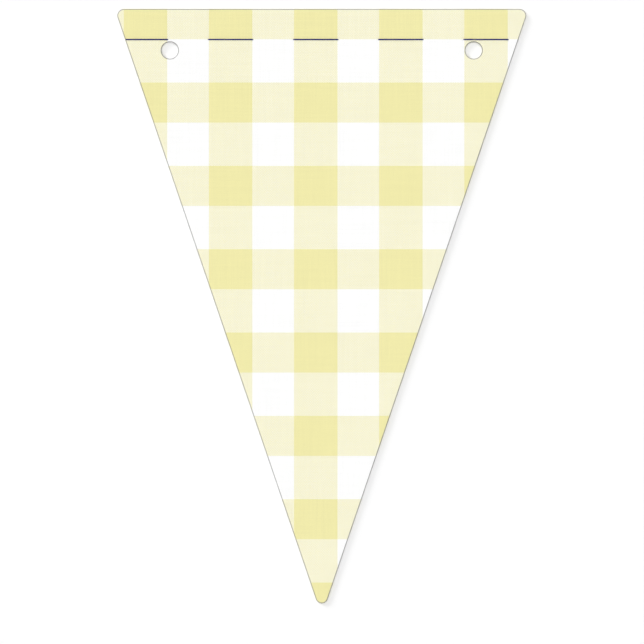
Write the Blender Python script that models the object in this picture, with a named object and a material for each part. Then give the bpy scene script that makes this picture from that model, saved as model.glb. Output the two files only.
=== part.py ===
"""Gingham bunting pennant.

One flat piece of stiffened cloth, cut as a long triangle with rounded corners, with two
round hanging holes punched near the ends of its straight edge. It lies face up: +X to its
right, +Y towards the holed edge, +Z out of its face. The origin is on the back, under the
middle of the pennant's box.
"""

import math

import bmesh
import bpy
from mathutils import Matrix, Vector

# Driving dimensions in metres. The sharp sizes are those of the triangle before rounding
SHARP_WIDTH = 0.1491
SHARP_LENGTH = 0.2186
THICKNESS = 0.0010
TOP_CORNER_RADIUS = 0.0024
POINT_RADIUS = 0.0022
HOLE_RADIUS = 0.0030
HOLE_SPACING = 0.1094
HOLE_BELOW_TOP_EDGE = 0.0149

# How far each punch reaches past both faces
PUNCH_OVERRUN = 0.0020

# Fineness of the round stretches. The point's number is even, to put a corner at its lowest spot
TOP_CORNER_STEPS = 8
POINT_STEPS = 12
HOLE_SIDES = 40
SMOOTH_BELOW_ANGLE = math.radians(35)

# Finish
CLOTH_COLOUR = (0.93, 0.90, 0.66, 1.0)
CLOTH_ROUGHNESS = 0.9

# Worked out from the sizes above. Rounding takes the tip off the sharp triangle
HALF_POINT_ANGLE = math.atan(SHARP_WIDTH / 2 / SHARP_LENGTH)
LENGTH = SHARP_LENGTH - POINT_RADIUS * (1 / math.sin(HALF_POINT_ANGLE) - 1)
TOP_EDGE_Y = LENGTH / 2
SHARP_POINT_Y = TOP_EDGE_Y - SHARP_LENGTH


def clear_scene():
    for old in list(bpy.data.objects):
        bpy.data.objects.remove(old, do_unlink=True)


def principled(name, colour, roughness):
    """A plain non-metal material."""
    material = bpy.data.materials.new(name)
    material.use_nodes = True
    shader = material.node_tree.nodes["Principled BSDF"]
    shader.inputs["Base Color"].default_value = colour
    shader.inputs["Roughness"].default_value = roughness
    shader.inputs["Metallic"].default_value = 0.0
    return material


def object_from(bm, name):
    """Turns a bmesh into an object, smooth round its arcs and sharp at its edges."""
    bmesh.ops.recalc_face_normals(bm, faces=bm.faces)
    mesh = bpy.data.meshes.new(name)
    bm.to_mesh(mesh)
    bm.free()
    mesh.shade_smooth()
    mesh.set_sharp_from_angle(angle=SMOOTH_BELOW_ANGLE)
    made = bpy.data.objects.new(name, mesh)
    bpy.context.scene.collection.objects.link(made)
    return made


def rounded_corner(before, corner, after, radius, steps):
    """The arc that rounds one corner of an outline which runs anticlockwise."""
    to_before = (before - corner).normalized()
    to_after = (after - corner).normalized()
    half_angle = to_before.angle(to_after) / 2
    centre = corner + (to_before + to_after).normalized() * radius / math.sin(half_angle)
    first_spoke = corner + to_before * radius / math.tan(half_angle) - centre
    sweep = math.pi - 2 * half_angle
    return [
        centre + Matrix.Rotation(sweep * step / steps, 2) @ first_spoke
        for step in range(steps + 1)
    ]


def pennant_outline():
    """The cut line, anticlockwise seen from the front."""
    right = Vector((SHARP_WIDTH / 2, TOP_EDGE_Y))
    left = Vector((-SHARP_WIDTH / 2, TOP_EDGE_Y))
    point = Vector((0.0, SHARP_POINT_Y))
    return [
        *rounded_corner(point, right, left, TOP_CORNER_RADIUS, TOP_CORNER_STEPS),
        *rounded_corner(right, left, point, TOP_CORNER_RADIUS, TOP_CORNER_STEPS),
        *rounded_corner(left, point, right, POINT_RADIUS, POINT_STEPS),
    ]


def make_blank():
    """The pennant as cut, before its holes are punched."""
    bm = bmesh.new()
    back = bm.faces.new([bm.verts.new((spot.x, spot.y, 0.0)) for spot in pennant_outline()])
    front = bmesh.ops.extrude_face_region(bm, geom=[back])["geom"]
    front_corners = [part for part in front if isinstance(part, bmesh.types.BMVert)]
    bmesh.ops.translate(bm, verts=front_corners, vec=(0.0, 0.0, THICKNESS))
    return object_from(bm, "pennant")


def make_punch(name, x):
    """A round cutter that stands through the pennant where a hanging hole goes."""
    bm = bmesh.new()
    bmesh.ops.create_cone(
        bm,
        cap_ends=True,
        segments=HOLE_SIDES,
        radius1=HOLE_RADIUS,
        radius2=HOLE_RADIUS,
        depth=THICKNESS + 2 * PUNCH_OVERRUN,
    )
    punch = object_from(bm, name)
    punch.location = (x, TOP_EDGE_Y - HOLE_BELOW_TOP_EDGE, THICKNESS / 2)
    punch.hide_render = True
    punch.display_type = "WIRE"
    return punch


def punch_through(cloth, punch):
    hole = cloth.modifiers.new(punch.name, "BOOLEAN")
    hole.operation = "DIFFERENCE"
    hole.solver = "EXACT"
    hole.object = punch


clear_scene()
pennant = make_blank()
pennant.data.materials.append(principled("gingham cloth", CLOTH_COLOUR, CLOTH_ROUGHNESS))
punch_through(pennant, make_punch("left hole punch", -HOLE_SPACING / 2))
punch_through(pennant, make_punch("right hole punch", HOLE_SPACING / 2))
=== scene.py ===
"""Looks of the gingham bunting pennant: its woven cloth, cut edge and row of navy thread."""

import math

import bmesh
import bpy
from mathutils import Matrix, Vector, geometry, kdtree, noise


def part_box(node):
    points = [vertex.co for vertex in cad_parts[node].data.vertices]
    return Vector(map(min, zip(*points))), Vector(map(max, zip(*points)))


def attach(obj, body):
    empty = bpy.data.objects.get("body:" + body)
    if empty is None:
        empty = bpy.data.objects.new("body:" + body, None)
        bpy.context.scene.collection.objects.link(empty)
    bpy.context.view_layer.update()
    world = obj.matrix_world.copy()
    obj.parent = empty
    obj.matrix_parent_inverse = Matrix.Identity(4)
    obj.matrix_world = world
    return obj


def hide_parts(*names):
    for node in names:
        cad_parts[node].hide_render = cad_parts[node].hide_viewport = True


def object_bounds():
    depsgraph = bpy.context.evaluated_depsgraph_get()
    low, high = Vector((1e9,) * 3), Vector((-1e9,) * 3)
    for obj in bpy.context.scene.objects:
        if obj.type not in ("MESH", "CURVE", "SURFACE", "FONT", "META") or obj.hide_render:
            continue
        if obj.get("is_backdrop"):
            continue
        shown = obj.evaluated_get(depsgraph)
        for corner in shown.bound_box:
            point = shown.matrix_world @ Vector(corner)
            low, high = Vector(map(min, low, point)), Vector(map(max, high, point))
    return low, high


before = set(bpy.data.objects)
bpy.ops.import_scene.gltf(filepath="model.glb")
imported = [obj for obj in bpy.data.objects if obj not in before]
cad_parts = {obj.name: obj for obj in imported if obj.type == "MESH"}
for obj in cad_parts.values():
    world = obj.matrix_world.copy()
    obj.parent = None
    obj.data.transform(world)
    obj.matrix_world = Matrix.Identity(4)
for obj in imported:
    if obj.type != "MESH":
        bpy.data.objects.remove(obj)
CAD_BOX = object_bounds()

MM = 0.001

# The pennant as the frame gives it: it lies face up, with its point towards -Y
LOW, HIGH = (Vector(corner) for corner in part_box("pennant"))
THICKNESS = HIGH.z - LOW.z
TOP_EDGE_Y = HIGH.y

# Its cut shape. The sharp sizes are those of the triangle before its corners are rounded
SHARP_WIDTH = 149.1 * MM
SHARP_LENGTH = 218.6 * MM
HALF_POINT_ANGLE = math.atan(SHARP_WIDTH / 2 / SHARP_LENGTH)
TOP_CORNER_RADIUS = 2.4 * MM
POINT_RADIUS = 2.2 * MM
HOLE_RADIUS = 3.0 * MM
HOLE_SPACING = 109.4 * MM
HOLE_BELOW_TOP_EDGE = 14.9 * MM

# Its cut edge: pressed down towards the rim, and rounded over into the side, front and back
PRESSED_WIDTH = 0.6 * MM
PRESSED_DEPTH = 0.05 * MM
FRONT_ROUNDING = 0.11 * MM
BACK_ROUNDING = 0.10 * MM
ROUNDING_STEPS = 5

# The painted shade along the cut edge and the hole rims, a grey that stands in for the edge's shade
# line:
# how far in from the cut it starts on the front and where it is full, the share of the front's rounding
# after which it weakens, and the share that is left on the side
EDGE_SHADE_STARTS = 0.34 * MM
EDGE_SHADE_FULL = 0.24 * MM
EDGE_SHADE_WEAKENS_AFTER = 0.6
SIDE_PAINTED_SHADE = 0.35
EDGE_SHADE_ATTRIBUTE = "painted_edge_shade"

# Fineness of its mesh, with finer steps in a band along the thread. A face's inner corners keep
# these clearances to its rims
STRAIGHT_STEP = 1.0 * MM
ARC_STEP = 0.35 * MM
FACE_STEP = 1.4 * MM
FACE_CLEARANCE = 0.7 * MM
FINE_STEP = 0.26 * MM
FINE_CLEARANCE = 0.18 * MM
FINE_REACH = 1.3 * MM

# The kind of mesh that fills a face, and how close spots have to be to become one corner
TRIANGLES_INSIDE_RIM = 1
MERGE_DISTANCE = 1e-9

# Its surface laid out flat for a texture, with a gap around the front and the back
LAYOUT_NAME = "OFBake"
LAYOUT_GAP = 0.9 * MM

# Slight unevenness of the cloth's thickness
UNEVEN_SHARE = 0.02
UNEVEN_SPAN = 14.0 * MM

# The check. Each repeat holds this many yarns, of which the first ones are coloured
YARNS_PER_REPEAT = 100
COLUMN_REPEAT = 30.65 * MM
COLUMN_COLOURED_YARNS = 51
COLUMN_MIDDLE_X = -2.17 * MM
ROW_REPEAT = 30.0 * MM
ROW_COLOURED_YARNS = 48
ROW_MIDDLE_BELOW_TOP_EDGE = 3.69 * MM

# The row of navy thread. It lies on the front across each coloured column, and behind between
THREAD_BELOW_TOP_EDGE = 11.0 * MM
THREAD_Y = TOP_EDGE_Y - THREAD_BELOW_TOP_EDGE
THREAD_END_MARGIN = 0.25 * MM
DASH_LENGTH = 16.2 * MM
DASH_DIVE = 1.0 * MM

# Its twisted plies
PLY_COUNT = 3
PLY_RADIUS = 0.115 * MM
PLY_OFFSET = 0.125 * MM
PLY_SIDES = 6
PLY_TURN_LENGTH = 1.4 * MM
STEPS_PER_TURN = 12
THREAD_RADIUS = PLY_RADIUS + PLY_OFFSET

# How it dents the cloth: a groove along it on either side, and a pucker where it dives. Each
# fades away inside the cloth, between these heights as shares of the thickness
THREAD_SINK_FRONT = 0.20 * MM
THREAD_SINK_BACK = 0.36 * MM
GROOVE_HALF_WIDTH = 0.34 * MM
PUCKER_DEPTH = 0.12 * MM
PUCKER_REACH = 0.55 * MM
FRONT_FADE = (0.4, 1.0)
BACK_FADE = (0.0, 0.5)

# Colours, as linear red, green and blue
COLOURED_YARN = (0.82, 0.772, 0.381, 1.0)
WHITE_YARN = (0.93, 0.93, 0.925, 1.0)
EDGE_SHADE_GREY = (0.245, 0.235, 0.235, 1.0)
NAVY_DARK = (0.002, 0.001, 0.035, 1.0)
NAVY_LIGHT = (0.024, 0.015, 0.29, 1.0)
FLOOR_COLOUR = (0.905, 0.905, 0.905, 1.0)

# The weave's relief. A yarn's crown is 1 along its middle and 0 at its sides. The yarn beneath
# shows where the crown of the one on top is low, and the cut side shows yarn ends in layers
CROWN_AT_YARN_SIDE = 0.36
YARN_DIP = 0.6
YARN_LAYERS = 3
CLOTH_BUMP = 0.02 * MM
FIBRES_IN_BUMP = 0.35

# The weave's shades. Those of yarns and fibres spread evenly around 1, and painted shade makes a crown
# lighter than a gap
YARN_SHADE_SPREAD = 0.10
FIBRE_SHADE_SPREAD = 0.22
PAINTED_SHADE_IN_GAP = 0.915
CROWN_PAINTED_LIGHTER_BY = 0.10

# The noise behind the yarns' shades: how fast it changes along a yarn, how far on the next yarn
# reads it, and where the weft's yarns start
SHADES_PER_METRE = 45.0
NOISE_STEP_PER_YARN = 7.31
NOISE_START_OF_WEFT = 531.7

# How far a white yarn takes the colour of the yarn beneath, and how far painted shade greys the cut edge
UNDER_YARN_SHARE = 0.12
EDGE_SHADE_SHARE = 0.86

# The cloth's gloss
CLOTH_ROUGHNESS_IN_GAP = 0.93
CROWN_SMOOTHER_BY = 0.08
CLOTH_SPECULAR = 0.25
CLOTH_SHEEN = 0.08
CLOTH_SHEEN_ROUGHNESS = 0.5

# The spun fibres of yarns and thread: their slant in a yarn, and how close and how long they are
FIBRE_SLANT = math.radians(24)
FIBRES_PER_METRE = 22000.0
FIBRE_LENGTHS_PER_METRE = 2600.0

# The thread's finish, and the values of its noise that give its darkest and lightest fibres
NOISE_OF_DARKEST_FIBRE = 0.32
NOISE_OF_LIGHTEST_FIBRE = 0.68
THREAD_BUMP = 0.02 * MM
THREAD_ROUGHNESS = 0.85
THREAD_SPECULAR = 0.05

# The round floor
FLOOR_RADIUS = 6.0
FLOOR_SIDES = 64

# The studio around it: white at the horizon, dim above, and with a soft box overhead. Each stop
# is a height above the horizon, and the brightness there as a share of the strength
STUDIO_STOPS = ((0.0, 0.36), (0.07, 0.36), (0.14, 0.07), (0.80, 0.07), (0.92, 1.0))
STUDIO_STRENGTH = 2.92

# The key light, low from the upper left. Its heading is the way that its light travels
KEY_ENERGY = 1.67
KEY_SOFTNESS = math.radians(22)
KEY_ELEVATION = math.radians(22)
KEY_HEADING = math.radians(-38)

# The photograph's frame: real size of a pixel, and the pixels where it meets the pennant
PHOTO_SIDE = 644
PIXEL = 0.36 * MM
PIXEL_ROW_OF_TOP_EDGE = 8.95
PIXEL_COLUMN_OF_AXIS = 321.77
LENS_MM = 200.0
SENSOR_MM = 36.0


def smoothstep(low, high, value):
    share = min(max((value - low) / (high - low), 0.0), 1.0)
    return share * share * (3 - 2 * share)


def direction(angle):
    return Vector((math.cos(angle), math.sin(angle)))


# Outline


def half_width_at(y):
    """Half the pennant's width between its straight sides."""
    return (y - TOP_EDGE_Y + SHARP_LENGTH) / SHARP_LENGTH * SHARP_WIDTH / 2


def spots_between(start, end):
    """Spots along a straight side, closer together where the thread crosses it."""
    along = (end - start).normalized()
    spots = []
    spot = start
    while True:
        near_thread = abs(spot.y - THREAD_Y) < FINE_REACH + STRAIGHT_STEP
        spot = spot + along * (FINE_STEP if near_thread else STRAIGHT_STEP)
        if (end - spot).dot(along) < STRAIGHT_STEP / 2:
            return spots
        spots.append(spot)


def rounded_triangle():
    """The cut line, anticlockwise: a list of spots, each with its outward direction."""
    right = Vector((SHARP_WIDTH / 2, TOP_EDGE_Y))
    left = Vector((-SHARP_WIDTH / 2, TOP_EDGE_Y))
    point = Vector((0.0, TOP_EDGE_Y - SHARP_LENGTH))
    right_side = -HALF_POINT_ANGLE
    top_side = math.pi / 2
    left_side = math.pi + HALF_POINT_ANGLE
    # Each corner, its radius, and the outward angles of the sides before and after it
    corners = (
        (right, TOP_CORNER_RADIUS, right_side, top_side),
        (left, TOP_CORNER_RADIUS, top_side, left_side),
        (point, POINT_RADIUS, left_side, right_side + math.tau),
    )
    arcs = []
    for corner, radius, before, after in corners:
        both = direction(before) + direction(after)
        centre = corner - both * radius / (1 + direction(before).dot(direction(after)))
        steps = math.ceil(radius * (after - before) / ARC_STEP)
        angles = [before + (after - before) * step / steps for step in range(steps + 1)]
        arcs.append([(centre + direction(angle) * radius, direction(angle)) for angle in angles])
    loop = []
    for arc, next_arc in zip(arcs, arcs[1:] + arcs[:1]):
        start, outward = arc[-1]
        loop += arc
        loop += [(spot, outward) for spot in spots_between(start, next_arc[0][0])]
    return loop


def hole_rim(middle):
    """A hole's rim, whose outward directions point out of the cloth, to the hole's middle."""
    steps = math.ceil(math.tau * HOLE_RADIUS / ARC_STEP)
    angles = [math.tau * step / steps for step in range(steps)]
    return [(middle + direction(angle) * HOLE_RADIUS, -direction(angle)) for angle in angles]


HOLE_Y = TOP_EDGE_Y - HOLE_BELOW_TOP_EDGE
HOLE_MIDDLES = [Vector((side * HOLE_SPACING / 2, HOLE_Y)) for side in (-1, 1)]
OUTLINE = rounded_triangle()
LOOPS = [OUTLINE] + [hole_rim(middle) for middle in HOLE_MIDDLES]


def area_within(spots):
    """Area within a loop of spots that runs anticlockwise."""
    return sum(a.cross(b) for a, b in zip(spots, spots[1:] + spots[:1])) / 2


HOLES_AREA = len(HOLE_MIDDLES) * math.pi * HOLE_RADIUS**2
FLAT_AREA = area_within([spot for spot, _ in OUTLINE]) - HOLES_AREA


# Cut edge


def pressed_height(inset):
    """Height of the front at a distance in from the cut, before the edge is rounded."""
    return THICKNESS - PRESSED_DEPTH * (1 - inset / PRESSED_WIDTH) ** 2


def edge_profile():
    """How the cloth ends, from the front to the back.

    Each row is the distance in from the cut, the height, and how strongly painted edge shade greys it.
    """
    rows = []
    insets = (PRESSED_WIDTH, (PRESSED_WIDTH + EDGE_SHADE_STARTS) / 2, EDGE_SHADE_STARTS, EDGE_SHADE_FULL)
    for inset in insets:
        rows.append((inset, pressed_height(inset), 1.0 if inset == EDGE_SHADE_FULL else 0.0))
    for step in range(ROUNDING_STEPS + 1):
        share = step / ROUNDING_STEPS
        turn = math.pi / 2 * share
        inset = FRONT_ROUNDING * (1 - math.sin(turn))
        height = pressed_height(FRONT_ROUNDING) - FRONT_ROUNDING * (1 - math.cos(turn))
        shade_strength = 1 - (1 - SIDE_PAINTED_SHADE) * smoothstep(EDGE_SHADE_WEAKENS_AFTER, 1.0, share)
        rows.append((inset, height, shade_strength))
    for step in range(ROUNDING_STEPS + 1):
        turn = math.pi / 2 * step / ROUNDING_STEPS
        inset = BACK_ROUNDING * (1 - math.cos(turn))
        rows.append((inset, BACK_ROUNDING * (1 - math.sin(turn)), SIDE_PAINTED_SHADE))
    rows.append((PRESSED_WIDTH / 2, 0.0, 0.0))
    rows.append((PRESSED_WIDTH, 0.0, 0.0))
    return rows


def unrolled_reaches(profile):
    """How far out from the cut each row of the profile comes to lie, once unrolled flat."""
    reaches = [-profile[0][0]]
    for (inset, height, _), (next_inset, next_height, _) in zip(profile, profile[1:]):
        reaches.append(reaches[-1] + math.hypot(next_inset - inset, next_height - height))
    return reaches


# Row of thread


def column_middles():
    """Middles of the coloured columns that cross the pennant, left to right."""
    reach = math.ceil(SHARP_WIDTH / 2 / COLUMN_REPEAT)
    middles = [COLUMN_MIDDLE_X + COLUMN_REPEAT * count for count in range(-reach, reach + 1)]
    return [x for x in middles if abs(x) - DASH_LENGTH / 2 < half_width_at(THREAD_Y)]


DASH_MIDDLES = column_middles()


def on_front(x):
    """1 where the thread lies on the front, 0 where it lies behind, smooth where it dives."""
    away = min(abs(x - middle) for middle in DASH_MIDDLES) - DASH_LENGTH / 2
    return 1 - smoothstep(-DASH_DIVE / 2, DASH_DIVE / 2, away)


def pucker(x, y):
    """0 to 1: how near a spot is to where the thread dives through the cloth."""
    away = min(abs(abs(x - middle) - DASH_LENGTH / 2) for middle in DASH_MIDDLES)
    return math.exp(-(math.hypot(away, y - THREAD_Y) / PUCKER_REACH) ** 2)


def thread_height(x):
    """Height of the thread's middle."""
    front = THICKNESS - THREAD_SINK_FRONT + THREAD_RADIUS
    back = THREAD_RADIUS
    return back + (front - back) * on_front(x)


def shaped_height(x, y, height):
    """A spot's height with the cloth's unevenness and what the thread does to it."""
    place = Vector((x / UNEVEN_SPAN, y / UNEVEN_SPAN, 0.0))
    height *= 1 + UNEVEN_SHARE * noise.noise(place)
    groove = math.exp(-(((y - THREAD_Y) / GROOVE_HALF_WIDTH) ** 2))
    front_share = on_front(x)
    top_share = smoothstep(*FRONT_FADE, height / THICKNESS)
    bottom_share = 1 - smoothstep(*BACK_FADE, height / THICKNESS)
    dip = PUCKER_DEPTH * pucker(x, y)
    sink = (THREAD_SINK_FRONT * front_share * groove + dip) * top_share
    rise = (THREAD_SINK_BACK * (1 - front_share) * groove + dip) * bottom_share
    return height + rise - sink


# Meshes


def bridge(bm, rings):
    """Joins each ring of corners to the next one with a band of faces."""
    for ring, next_ring in zip(rings, rings[1:]):
        for index in range(len(ring)):
            after = (index + 1) % len(ring)
            bm.faces.new((ring[index], ring[after], next_ring[after], next_ring[index]))


def object_from(bm, name):
    """A smooth-shaded object from a mesh in the making."""
    mesh = bpy.data.meshes.new(name)
    bm.to_mesh(mesh)
    bm.free()
    mesh.shade_smooth()
    made = bpy.data.objects.new(name, mesh)
    bpy.context.scene.collection.objects.link(made)
    return made


# Cloth


def face_spots(rims):
    """Spots of a staggered lattice inside the rims and clear of them, finer along the thread."""
    rim_spots = []
    for rim, loop in zip(rims, LOOPS):
        rim_spots += [(spot, outward) for spot, (_, outward) in zip(rim, loop)]
    tree = kdtree.KDTree(len(rim_spots))
    for index, (spot, _) in enumerate(rim_spots):
        tree.insert((spot.x, spot.y, 0.0), index)
    tree.balance()

    def inside(x, y, clearance):
        _, index, distance = tree.find((x, y, 0.0))
        spot, outward = rim_spots[index]
        return distance > clearance and (Vector((x, y)) - spot).dot(outward) < 0

    def lattice(step_x, step_y, first_y, row_count, clearance):
        column_count = math.ceil(SHARP_WIDTH / step_x)
        for row in range(row_count):
            for column in range(column_count + 1):
                x = (column - column_count / 2 + (row % 2) / 2) * step_x
                y = first_y - row * step_y
                if inside(x, y, clearance):
                    yield Vector((x, y))

    row_step = FACE_STEP * math.sqrt(3) / 2
    row_count = math.ceil(SHARP_LENGTH / row_step)
    coarse = lattice(FACE_STEP, row_step, TOP_EDGE_Y, row_count, FACE_CLEARANCE)
    spots = [spot for spot in coarse if abs(spot.y - THREAD_Y) > FINE_REACH + row_step / 2]
    fine_rows = 2 * round(FINE_REACH / FINE_STEP) + 1
    first_y = THREAD_Y + FINE_STEP * (fine_rows // 2)
    spots += lattice(2 * FINE_STEP, FINE_STEP, first_y, fine_rows, FINE_CLEARANCE)
    return spots


def fill_face(bm, rims, height):
    """Fills one side of the cloth between rims of existing corners, and returns its faces."""
    rim_spots = [[corner.co.xy for corner in rim] for rim in rims]
    inner = face_spots(rim_spots)
    spots = [spot for rim in rim_spots for spot in rim] + inner
    corners = [corner for rim in rims for corner in rim]
    corners += [bm.verts.new((spot.x, spot.y, height)) for spot in inner]
    edges = []
    rim_indices = []
    first = 0
    for rim in rims:
        indices = range(first, first + len(rim))
        edges += zip(indices, [*indices[1:], first])
        rim_indices.append(set(indices))
        first += len(rim)
    _, _, made_faces, came_from, _, _ = geometry.delaunay_2d_cdt(
        spots, edges, [], TRIANGLES_INSIDE_RIM, MERGE_DISTANCE
    )
    # The outline's rim comes first. A face with all its corners on another rim would close a hole
    _, *holes = rim_indices
    filled = []
    for made in made_faces:
        face = [came_from[index][0] for index in made]
        if not any(hole.issuperset(face) for hole in holes):
            filled.append(bm.faces.new([corners[index] for index in face]))
    return filled


def lay_out_flat(bm, unrolled, back_faces, edge_reach):
    """Lays the front out flat with the edge unrolled around it, and the back upside down beside.

    unrolled holds where the edge's corners come to lie, up to edge_reach out from the cut.
    """
    back_axis_x = 2 * half_width_at(0.0) + (edge_reach + LAYOUT_GAP) / math.cos(HALF_POINT_ANGLE)
    left = -SHARP_WIDTH / 2 - edge_reach - LAYOUT_GAP
    side = back_axis_x + SHARP_WIDTH / 2 + LAYOUT_GAP - left
    back = set(back_faces)
    layout = bm.loops.layers.uv.new(LAYOUT_NAME)
    for face in bm.faces:
        for corner in face.loops:
            if face in back:
                spot = Vector((back_axis_x + corner.vert.co.x, -corner.vert.co.y))
            else:
                spot = unrolled.get(corner.vert, corner.vert.co.xy)
            corner[layout].uv = ((spot.x - left) / side, spot.y / side + 0.5)


def make_cloth():
    bm = bmesh.new()
    # Each corner keeps how strongly painted shade greys it along the cut edge
    edge_shade_layer = bm.verts.layers.float.new(EDGE_SHADE_ATTRIBUTE)
    profile = edge_profile()
    reaches = unrolled_reaches(profile)
    unrolled = {}
    front_rims = []
    back_rims = []
    for loop in LOOPS:
        rings = []
        for (inset, height, shade_strength), reach in zip(profile, reaches):
            ring = []
            for spot, outward in loop:
                place = spot - outward * inset
                corner = bm.verts.new((place.x, place.y, height))
                corner[edge_shade_layer] = shade_strength
                unrolled[corner] = spot + outward * reach
                ring.append(corner)
            rings.append(ring)
        bridge(bm, rings)
        front_rims.append(rings[0])
        back_rims.append(rings[-1])
    fill_face(bm, front_rims, THICKNESS)
    back_faces = fill_face(bm, back_rims, 0.0)
    for corner in bm.verts:
        corner.co.z = shaped_height(*corner.co)
    bmesh.ops.recalc_face_normals(bm, faces=bm.faces)
    lay_out_flat(bm, unrolled, back_faces, reaches[-1])
    return object_from(bm, "gingham_cloth")


# Thread


def make_thread():
    """Twisted plies that weave from the front to the back and on, cut at both sides."""
    bm = bmesh.new()
    reach = half_width_at(THREAD_Y) - THREAD_END_MARGIN
    step_length = PLY_TURN_LENGTH / STEPS_PER_TURN
    steps = int(2 * reach / step_length)
    for ply in range(PLY_COUNT):
        rings = []
        for step in range(steps + 1):
            x = -reach + step * step_length
            turn = math.tau * (step / STEPS_PER_TURN + ply / PLY_COUNT)
            slope = (thread_height(x + step_length) - thread_height(x - step_length)) / (2 * step_length)
            along = Vector((1.0, 0.0, slope)).normalized()
            up = Vector((-along.z, 0.0, along.x))
            across = Vector((0.0, 1.0, 0.0))
            centre = Vector((x, THREAD_Y, thread_height(x)))
            centre += PLY_OFFSET * (math.cos(turn) * across + math.sin(turn) * up)
            ring = []
            for side in range(PLY_SIDES):
                angle = math.tau * side / PLY_SIDES
                spoke = math.cos(angle) * across + math.sin(angle) * up
                ring.append(bm.verts.new(centre + PLY_RADIUS * spoke))
            rings.append(ring)
        bridge(bm, rings)
        bm.faces.new(rings[0])
        bm.faces.new(rings[-1])
    bmesh.ops.recalc_face_normals(bm, faces=bm.faces)
    return object_from(bm, "navy_thread")


# Materials


class Nodes:
    """Short ways to add the nodes of a material."""

    def __init__(self, name):
        self.material = bpy.data.materials.new(name)
        self.material.use_nodes = True
        self.tree = self.material.node_tree
        self.shader = self.tree.nodes["Principled BSDF"]

    def add(self, kind, **settings):
        node = self.tree.nodes.new(kind)
        for name, value in settings.items():
            setattr(node, name, value)
        return node

    def feed(self, node, sockets):
        """Links or sets a node's sockets, given by their name or number."""
        for name, value in sockets.items():
            if isinstance(value, bpy.types.NodeSocket):
                self.tree.links.new(value, node.inputs[name])
            else:
                node.inputs[name].default_value = value

    def compute(self, operation, *values):
        node = self.add("ShaderNodeMath", operation=operation)
        self.feed(node, dict(enumerate(values)))
        return node.outputs[0]

    def mix(self, share, first, second):
        node = self.add("ShaderNodeMix", data_type="RGBA")
        self.feed(node, {"Factor": share, "A": first, "B": second})
        return node.outputs["Result"]

    def vector(self, x, y):
        node = self.add("ShaderNodeCombineXYZ")
        self.feed(node, {"X": x, "Y": y})
        return node.outputs[0]

    def times(self, vector, by):
        """A vector multiplied by a number or by another vector."""
        node = self.add("ShaderNodeVectorMath", operation="MULTIPLY")
        self.feed(node, {0: vector, 1: by})
        return node.outputs[0]

    def noise(self, dimensions, vector, detail):
        node = self.add("ShaderNodeTexNoise", noise_dimensions=dimensions)
        self.feed(node, {"Vector": vector, "Scale": 1.0, "Detail": detail})
        return node.outputs["Fac"]

    def bump(self, height, distance):
        node = self.add("ShaderNodeBump")
        self.feed(node, {"Height": height, "Distance": distance})
        return node.outputs[0]

    def place(self):
        return self.add("ShaderNodeTexCoord").outputs["Object"]


def band_start(middle, coloured, repeat):
    """Where the first coloured yarn of the band around a middle begins."""
    return middle - coloured * repeat / YARNS_PER_REPEAT / 2


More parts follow.
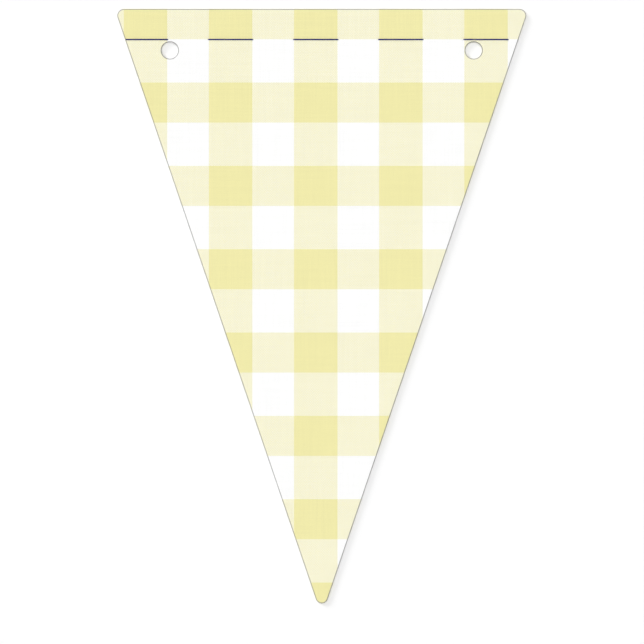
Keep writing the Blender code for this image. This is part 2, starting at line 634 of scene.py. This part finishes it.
def weave_cloth():
    """A plain weave, whose check comes from which of its yarns are coloured."""
    nodes = Nodes("woven gingham")
    compute = nodes.compute
    split = nodes.add("ShaderNodeSeparateXYZ")
    nodes.feed(split, {0: nodes.place()})
    x, y, z = split.outputs

    def pick(warp_share, from_warp, from_weft):
        difference = compute("SUBTRACT", from_warp, from_weft)
        return compute("MULTIPLY_ADD", difference, warp_share, from_weft)

    def crown(across):
        """0 at a yarn's sides and 1 along its middle."""
        off_middle = compute("MULTIPLY_ADD", across, 2.0, -1.0)
        return compute("SUBTRACT", 1.0, compute("MULTIPLY", off_middle, off_middle))

    def around_one(value, spread):
        """A factor that a value from 0 to 1 spreads evenly around 1."""
        return compute("MULTIPLY_ADD", value, spread, 1 - spread / 2)

    def dipped(height, crown_along):
        """A height that falls off where the crown along it is low."""
        return compute("MULTIPLY", height, compute("MULTIPLY_ADD", crown_along, YARN_DIP, 1 - YARN_DIP))

    def yarns(distance, repeat, coloured):
        """Of the yarns that lie side by side along a distance: number, place across, coloured."""
        count = compute("DIVIDE", distance, repeat / YARNS_PER_REPEAT)
        number = compute("FLOOR", count)
        across = compute("SUBTRACT", count, number)
        in_repeat = compute("FLOORED_MODULO", number, float(YARNS_PER_REPEAT))
        # Both are whole numbers, and half of one keeps rounding from mattering
        is_coloured = compute("LESS_THAN", in_repeat, coloured - 0.5)
        return number, across, is_coloured

    def yarn_shade(number, along, offset):
        """How light or dark one yarn is, along its length."""
        row = compute("MULTIPLY_ADD", number, NOISE_STEP_PER_YARN, offset)
        spot = nodes.vector(row, compute("MULTIPLY", along, SHADES_PER_METRE))
        return nodes.noise("2D", spot, detail=1.0)

    def fibre_streaks(across, along):
        """The fibres of the yarns that run along one way, at a slant because they are spun."""
        straight, aside = math.cos(FIBRE_SLANT), math.sin(FIBRE_SLANT)
        over = compute("MULTIPLY_ADD", across, straight, compute("MULTIPLY", along, aside))
        down = compute("MULTIPLY_ADD", along, straight, compute("MULTIPLY", across, -aside))
        spot = nodes.vector(
            compute("MULTIPLY", over, FIBRES_PER_METRE),
            compute("MULTIPLY", down, FIBRE_LENGTHS_PER_METRE),
        )
        return nodes.noise("2D", spot, detail=1.0)

    column_start = band_start(COLUMN_MIDDLE_X, COLUMN_COLOURED_YARNS, COLUMN_REPEAT)
    row_start = band_start(ROW_MIDDLE_BELOW_TOP_EDGE, ROW_COLOURED_YARNS, ROW_REPEAT)
    across_columns = compute("SUBTRACT", x, column_start)
    down_rows = compute("SUBTRACT", TOP_EDGE_Y - row_start, y)
    warp, warp_across, warp_coloured = yarns(across_columns, COLUMN_REPEAT, COLUMN_COLOURED_YARNS)
    weft, weft_across, weft_coloured = yarns(down_rows, ROW_REPEAT, ROW_COLOURED_YARNS)
    # The cut side shows the yarns' ends in layers, the outer two by half, and each layer starts
    # with the other yarn
    layer_count = compute("MULTIPLY_ADD", z, YARN_LAYERS / THICKNESS, 0.5)
    layer = compute("FLOOR", layer_count)
    crossings = compute("ADD", compute("ADD", warp, weft), layer)
    warp_on_top = compute("FLOORED_MODULO", crossings, 2.0)

    # Beside the yarn on top, the one that it crosses comes up into view
    warp_crown = crown(warp_across)
    weft_crown = crown(weft_across)
    beside = compute("LESS_THAN", pick(warp_on_top, warp_crown, weft_crown), CROWN_AT_YARN_SIDE)
    warp_shows = compute("ABSOLUTE", compute("SUBTRACT", warp_on_top, beside))
    relief = dipped(
        pick(warp_shows, warp_crown, weft_crown),
        pick(warp_shows, weft_crown, warp_crown),
    )
    relief = dipped(relief, crown(compute("SUBTRACT", layer_count, layer)))

    yarn_shades = (yarn_shade(warp, y, 0.0), yarn_shade(weft, x, NOISE_START_OF_WEFT))
    fibres = pick(warp_shows, fibre_streaks(x, y), fibre_streaks(y, x))
    shade = around_one(pick(warp_shows, *yarn_shades), YARN_SHADE_SPREAD)
    # Painted shade: gaps between yarns, and between the layers on the cut side, are darker than crowns
    shade = compute("MULTIPLY", shade, compute("MULTIPLY_ADD", relief, CROWN_PAINTED_LIGHTER_BY, PAINTED_SHADE_IN_GAP))
    shade = compute("MULTIPLY", shade, around_one(fibres, FIBRE_SHADE_SPREAD))

    # A white yarn takes a little of the colour of the one beneath it
    under_coloured = pick(warp_shows, weft_coloured, warp_coloured)
    coloured = compute(
        "MAXIMUM",
        pick(warp_shows, warp_coloured, weft_coloured),
        compute("MULTIPLY", under_coloured, UNDER_YARN_SHARE),
    )
    colour = nodes.mix(coloured, WHITE_YARN, COLOURED_YARN)
    # Painted shade: the cut edge and the hole rims are mixed towards grey, as strongly as each corner
    # holds
    edge = nodes.add("ShaderNodeAttribute", attribute_name=EDGE_SHADE_ATTRIBUTE).outputs["Fac"]
    colour = nodes.mix(compute("MULTIPLY", edge, EDGE_SHADE_SHARE), colour, EDGE_SHADE_GREY)

    height = compute("MULTIPLY_ADD", fibres, FIBRES_IN_BUMP, relief)
    roughness = compute("MULTIPLY_ADD", relief, -CROWN_SMOOTHER_BY, CLOTH_ROUGHNESS_IN_GAP)
    nodes.feed(nodes.shader, {
        "Base Color": nodes.times(colour, shade),
        "Normal": nodes.bump(height, CLOTH_BUMP),
        "Roughness": roughness,
        "Specular IOR Level": CLOTH_SPECULAR,
        "Sheen Weight": CLOTH_SHEEN,
        "Sheen Roughness": CLOTH_SHEEN_ROUGHNESS,
    })
    return nodes.material


def spin_thread():
    """Navy cotton. Plying turns its fibres back, so that they run along the thread."""
    nodes = Nodes("navy thread")
    per_metre = (FIBRE_LENGTHS_PER_METRE, FIBRES_PER_METRE, FIBRES_PER_METRE)
    fibres = nodes.noise("3D", nodes.times(nodes.place(), per_metre), detail=2.0)
    streaks = nodes.add("ShaderNodeMapRange")
    nodes.feed(streaks, {
        "Value": fibres,
        "From Min": NOISE_OF_DARKEST_FIBRE,
        "From Max": NOISE_OF_LIGHTEST_FIBRE,
    })
    lightness = streaks.outputs["Result"]
    nodes.feed(nodes.shader, {
        "Base Color": nodes.mix(lightness, NAVY_DARK, NAVY_LIGHT),
        "Normal": nodes.bump(lightness, THREAD_BUMP),
        "Roughness": THREAD_ROUGHNESS,
        "Specular IOR Level": THREAD_SPECULAR,
    })
    return nodes.material


# Stage


def make_floor():
    bm = bmesh.new()
    bmesh.ops.create_circle(bm, cap_ends=True, segments=FLOOR_SIDES, radius=FLOOR_RADIUS)
    floor = object_from(bm, "floor")
    nodes = Nodes("pale floor")
    nodes.feed(nodes.shader, {"Base Color": FLOOR_COLOUR, "Roughness": 1.0, "Specular IOR Level": 0.0})
    floor.data.materials.append(nodes.material)
    floor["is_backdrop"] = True


def light_studio():
    world = bpy.data.worlds.new("studio")
    bpy.context.scene.world = world
    world.use_nodes = True
    tree = world.node_tree
    coordinate = tree.nodes.new("ShaderNodeTexCoord")
    split = tree.nodes.new("ShaderNodeSeparateXYZ")
    ramp = tree.nodes.new("ShaderNodeValToRGB")
    background = tree.nodes["Background"]
    tree.links.new(coordinate.outputs["Generated"], split.inputs[0])
    tree.links.new(split.outputs["Z"], ramp.inputs[0])
    tree.links.new(ramp.outputs["Color"], background.inputs["Color"])
    elements = ramp.color_ramp.elements
    while len(elements) < len(STUDIO_STOPS):
        elements.new(0.5)
    for element, (position, value) in zip(elements, STUDIO_STOPS):
        element.position = position
        element.color = (value, value, value, 1.0)
    background.inputs["Strength"].default_value = STUDIO_STRENGTH


def light_from_left():
    """The key light, whose soft shadow falls right and down."""
    light = bpy.data.lights.new("key light", "SUN")
    light.energy = KEY_ENERGY
    light.angle = KEY_SOFTNESS
    lamp = bpy.data.objects.new("key light", light)
    travel = Vector((
        math.cos(KEY_ELEVATION) * math.cos(KEY_HEADING),
        math.cos(KEY_ELEVATION) * math.sin(KEY_HEADING),
        -math.sin(KEY_ELEVATION),
    ))
    lamp.rotation_euler = travel.to_track_quat("-Z", "Y").to_euler()
    bpy.context.scene.collection.objects.link(lamp)


def place_camera():
    """Straight above the face, framed as the photograph is."""
    middle_x = (PHOTO_SIDE / 2 - PIXEL_COLUMN_OF_AXIS) * PIXEL
    middle_y = TOP_EDGE_Y - (PHOTO_SIDE / 2 - PIXEL_ROW_OF_TOP_EDGE) * PIXEL
    height = PHOTO_SIDE * PIXEL * LENS_MM / SENSOR_MM
    lens = bpy.data.cameras.new("camera")
    lens.lens = LENS_MM
    lens.sensor_width = SENSOR_MM
    camera = bpy.data.objects.new("camera", lens)
    camera.location = (middle_x, middle_y, THICKNESS + height)
    bpy.context.scene.collection.objects.link(camera)
    bpy.context.scene.camera = camera


place_camera()
bpy.context.scene.view_settings.view_transform = "Standard"
make_floor()
light_studio()
light_from_left()

cloth = make_cloth()
cloth.data.materials.append(weave_cloth())
thread = make_thread()
thread.data.materials.append(spin_thread())
for piece, slot in ((cloth, "gingham_cloth"), (thread, "navy_thread")):
    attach(piece, "root")
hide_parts("pennant")

boxes = {"cad": CAD_BOX, "visual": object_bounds()}
{name: [list(corner) for corner in box] for name, box in boxes.items()}
